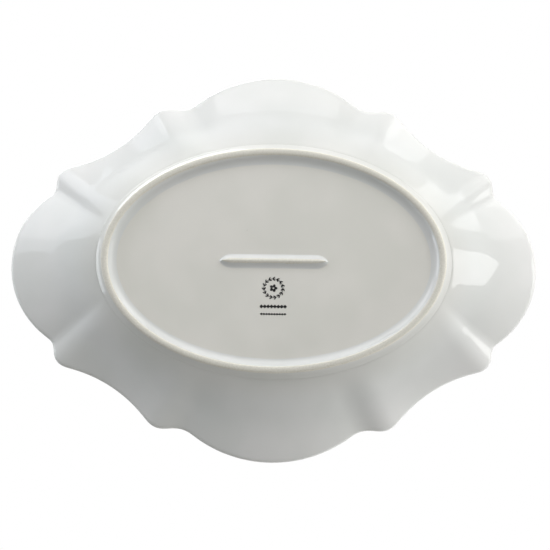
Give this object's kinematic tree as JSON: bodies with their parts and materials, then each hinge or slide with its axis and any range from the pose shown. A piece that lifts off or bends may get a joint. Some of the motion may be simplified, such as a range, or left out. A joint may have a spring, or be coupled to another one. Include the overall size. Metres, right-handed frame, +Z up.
{
  "type": "china serving platter",
  "caption": "Oval white porcelain serving platter with a scalloped, fluted rim, a raised elliptical foot ring, a kiln support rib and a printed floral mark underneath.",
  "frame": {"origin": "centre of the foot ring's tread, on the plane that the platter stands on", "axes": "+Z up out of the well, serving side up; +X along the platter's long axis; the printed mark is on the +Y side of the support rib"},
  "size_m": [0.3556, 0.266, 0.034],
  "materials": {
    "glazed_porcelain": "clear gloss glaze over hard white porcelain",
    "foot_porcelain": "gloss glazed flanks with a bare cream tread wiped before firing",
    "rib_porcelain": "thin gloss glaze, worn to satin cream along the crest",
    "fired_print": "soft black ceramic ink, fired on"
  },
  "bodies": {
    "root": {"platter_body": "glazed_porcelain", "foot_ring": "foot_porcelain", "support_rib": "rib_porcelain", "backstamp_wreath": "fired_print", "backstamp_blossom": "fired_print", "backstamp_rule_upper": "fired_print", "backstamp_rule_lower": "fired_print"}
  },
  "joints": []
}
